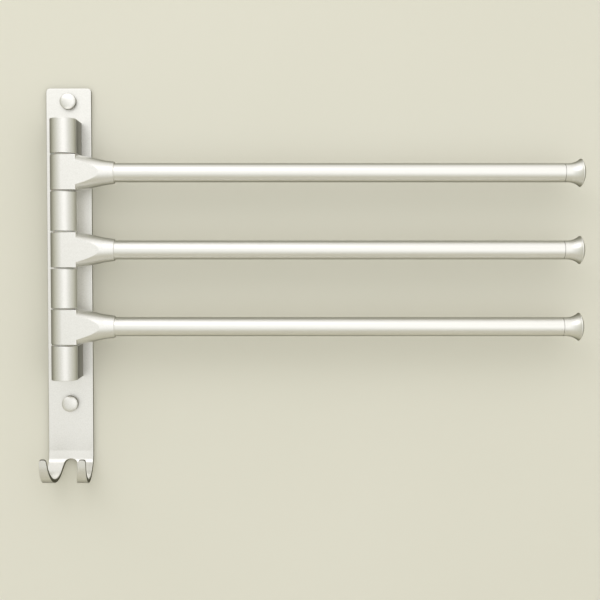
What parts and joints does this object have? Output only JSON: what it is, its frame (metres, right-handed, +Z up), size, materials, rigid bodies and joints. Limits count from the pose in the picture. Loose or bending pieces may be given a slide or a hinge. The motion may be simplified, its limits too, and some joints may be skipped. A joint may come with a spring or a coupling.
{
  "type": "swivel towel rack",
  "caption": "Wall-mounted swivel towel rack: round arms with flared ends on one upright hinge pin, held by brackets on a narrow plate whose foot is split into robe hooks.",
  "frame": {"origin": "on the wall plate's flat back face, on its middle line, half way between the two wall-screw holes", "axes": "+Z up, +Y into the wall, +X along the arms at rest; the room is on the -Y side"},
  "size_m": [0.3875, 0.0642, 0.2861],
  "materials": {
    "satin_aluminium": "fine bead-blasted and clear anodised, satin",
    "zinc_plated_steel": "bright zinc plated",
    "white_nylon": "moulded white nylon"
  },
  "bodies": {
    "wall_unit": {"wall_plate": "satin_aluminium", "upper_bracket": "satin_aluminium", "lower_bracket": "satin_aluminium", "upper_spacer": "satin_aluminium", "lower_spacer": "satin_aluminium", "screw_cover_upper": "satin_aluminium", "screw_cover_lower": "satin_aluminium", "hinge_pin": "zinc_plated_steel", "bracket_screw_upper_1": "zinc_plated_steel", "bracket_screw_upper_2": "zinc_plated_steel", "bracket_screw_lower_1": "zinc_plated_steel", "bracket_screw_lower_2": "zinc_plated_steel", "wall_screw_upper": "zinc_plated_steel", "wall_screw_lower": "zinc_plated_steel", "cover_seat_upper": "white_nylon", "cover_seat_lower": "white_nylon"},
    "upper_arm": {"upper_arm_socket": "satin_aluminium", "upper_arm_tube": "satin_aluminium", "upper_end_cap": "satin_aluminium", "upper_arm_bush_top": "white_nylon", "upper_arm_bush_bottom": "white_nylon"},
    "middle_arm": {"middle_arm_socket": "satin_aluminium", "middle_arm_tube": "satin_aluminium", "middle_end_cap": "satin_aluminium", "middle_arm_bush_top": "white_nylon", "middle_arm_bush_bottom": "white_nylon"},
    "lower_arm": {"lower_arm_socket": "satin_aluminium", "lower_arm_tube": "satin_aluminium", "lower_end_cap": "satin_aluminium", "lower_arm_bush_top": "white_nylon", "lower_arm_bush_bottom": "white_nylon"}
  },
  "joints": [
    {"name": "upper_arm_swing", "type": "hinge", "parent": "wall_unit", "child": "upper_arm", "pos_m": [0, -0.0253, 0.0572], "axis": [0, 0, -1], "range_deg": [0, 180]},
    {"name": "middle_arm_swing", "type": "hinge", "parent": "wall_unit", "child": "middle_arm", "pos_m": [0, -0.0253, 0.0024], "axis": [0, 0, -1], "range_deg": [0, 180]},
    {"name": "lower_arm_swing", "type": "hinge", "parent": "wall_unit", "child": "lower_arm", "pos_m": [0, -0.0253, -0.0524], "axis": [0, 0, -1], "range_deg": [0, 180]}
  ]
}
